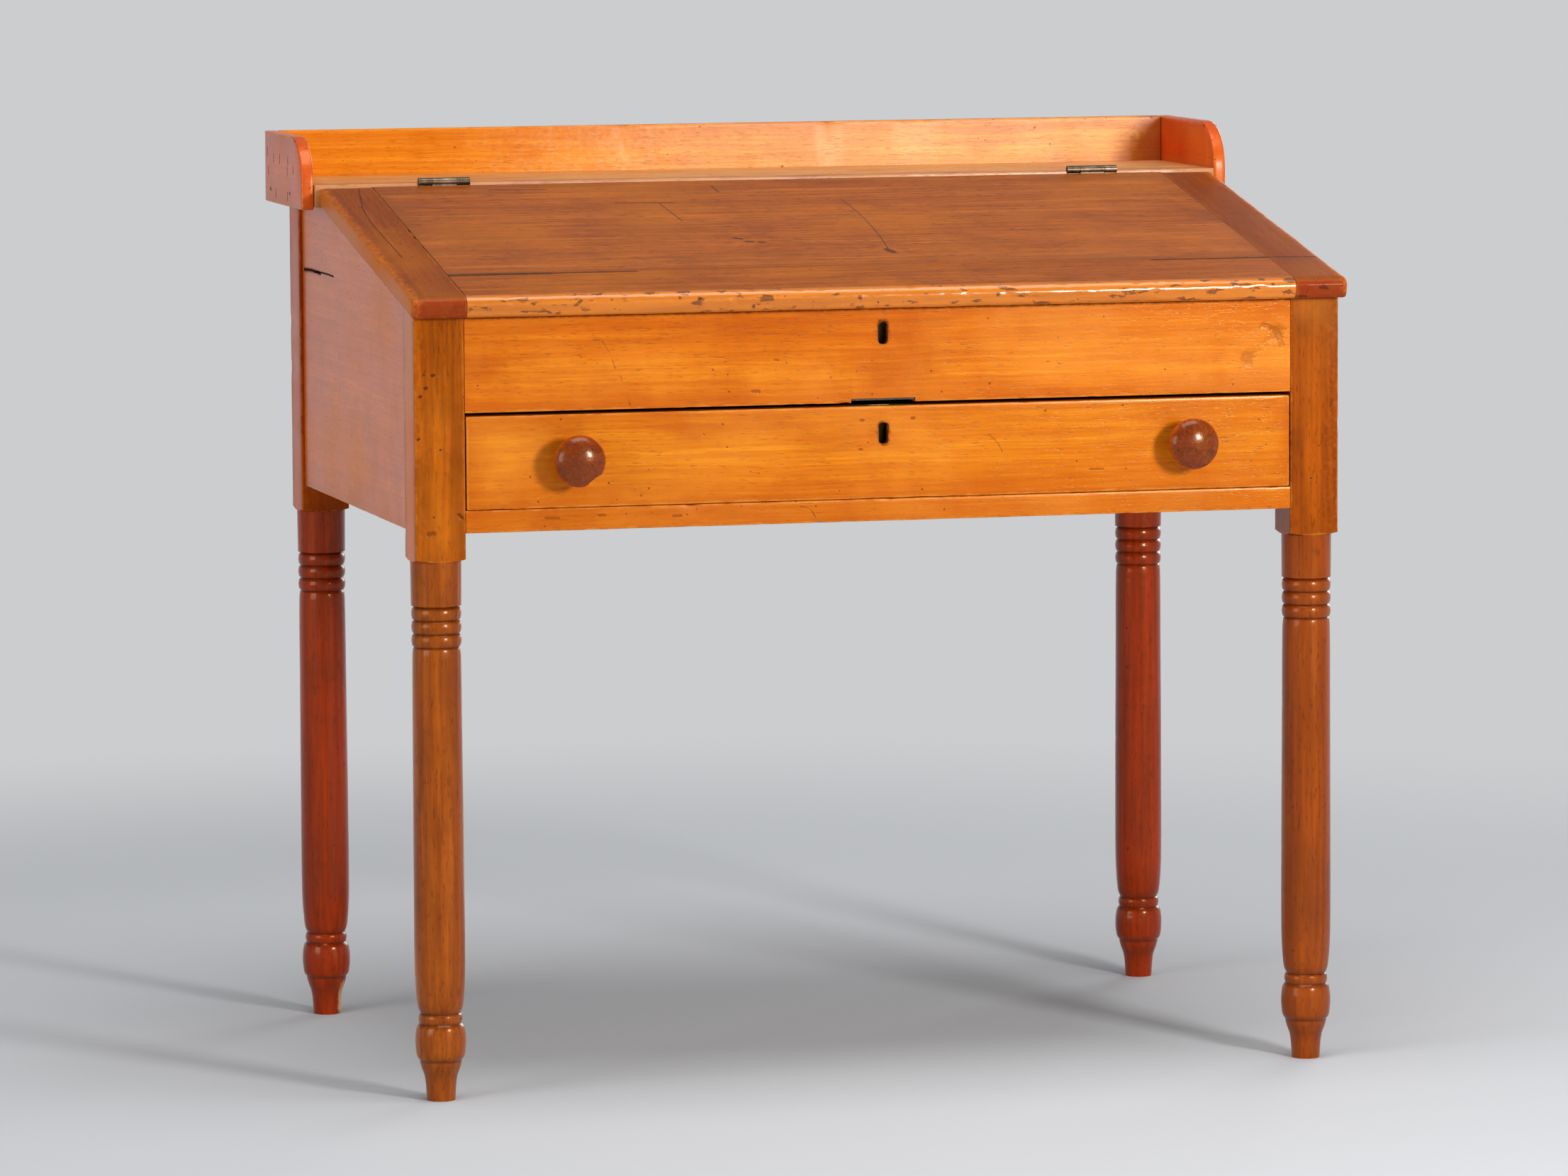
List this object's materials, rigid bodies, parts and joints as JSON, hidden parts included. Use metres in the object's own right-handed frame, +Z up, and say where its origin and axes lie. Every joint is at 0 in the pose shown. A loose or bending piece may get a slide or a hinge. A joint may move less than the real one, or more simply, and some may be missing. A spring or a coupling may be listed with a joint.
{
  "type": "schoolmaster's desk",
  "caption": "Slant-lid writing desk on turned legs: hinged lid over a well, a drawer with turned knobs below, and a pen shelf with a low gallery behind.",
  "frame": {"origin": "on the floor, under the middle of the whole desk's box", "axes": "+X to the right along the width, +Y from the knobs back to the gallery, +Z up"},
  "size_m": [0.958, 0.6448, 0.8975],
  "materials": {
    "front_wood": "amber shellac, glossy, fine level grain",
    "lid_wood": "brown shellac, satin, worn and scratched",
    "leg_wood": "brown shellac, glossy, upright grain",
    "side_wood": "red-brown shellac, satin",
    "inside_wood": "bare old pine, dry and dusty",
    "knob_wood": "dark walnut, glossy",
    "iron": "dark, rubbed at the edges",
    "brass": "old, dull"
  },
  "bodies": {
    "case": {"leg_front_left": "leg_wood", "leg_front_right": "leg_wood", "leg_back_left": "leg_wood", "leg_back_right": "leg_wood", "side_panel_left": "side_wood", "side_panel_right": "side_wood", "back_panel": "side_wood", "upper_front_panel": "front_wood", "front_rail": "front_wood", "well_floor": "inside_wood", "well_cleat_left": "inside_wood", "well_cleat_right": "inside_wood", "drawer_runner_left": "inside_wood", "drawer_runner_right": "inside_wood", "drawer_guide_left": "inside_wood", "drawer_guide_right": "inside_wood", "drawer_stop_left": "inside_wood", "drawer_stop_right": "inside_wood", "pen_shelf": "side_wood", "gallery_back": "front_wood", "gallery_side_left": "side_wood", "gallery_side_right": "side_wood", "lid_lock_case": "brass", "drawer_lock_strike": "iron", "hinge_left_shelf_leaf": "iron", "hinge_right_shelf_leaf": "iron", "hinge_left_pin": "iron", "hinge_right_pin": "iron", "hinge_left_shelf_screw_left": "iron", "hinge_left_shelf_screw_right": "iron", "hinge_right_shelf_screw_left": "iron", "hinge_right_shelf_screw_right": "iron"},
    "lid": {"lid_back_board": "lid_wood", "lid_front_board": "lid_wood", "lid_end_left": "lid_wood", "lid_end_right": "lid_wood", "hinge_left_lid_leaf": "iron", "hinge_right_lid_leaf": "iron", "hinge_left_lid_screw_left": "iron", "hinge_left_lid_screw_right": "iron", "hinge_right_lid_screw_left": "iron", "hinge_right_lid_screw_right": "iron", "lid_lock_link_plate": "brass"},
    "drawer": {"drawer_front": "front_wood", "drawer_side_left": "inside_wood", "drawer_side_right": "inside_wood", "drawer_back": "inside_wood", "drawer_bottom": "inside_wood", "knob_left": "knob_wood", "knob_right": "knob_wood", "drawer_lock_case": "brass"},
    "drawer_lock_bolt": {"drawer_lock_bolt": "iron"},
    "lid_lock_bolt": {"lid_lock_bolt": "iron"}
  },
  "joints": [
    {"name": "lid_hinge", "type": "hinge", "parent": "case", "child": "lid", "pos_m": [0, 0.13111, 0.85256], "axis": [-1, 0, 0], "range_deg": [0, 177]},
    {"name": "drawer_slide", "type": "slide", "parent": "case", "child": "drawer", "axis": [0, -1, 0], "range_m": [0, 0.38]},
    {"name": "drawer_bolt_throw", "type": "slide", "parent": "drawer", "child": "drawer_lock_bolt", "axis": [0, 0, 1], "range_m": [0, 0.009]},
    {"name": "lid_bolt_throw", "type": "slide", "parent": "case", "child": "lid_lock_bolt", "axis": [-1, 0, 0], "range_m": [0, 0.014]}
  ]
}
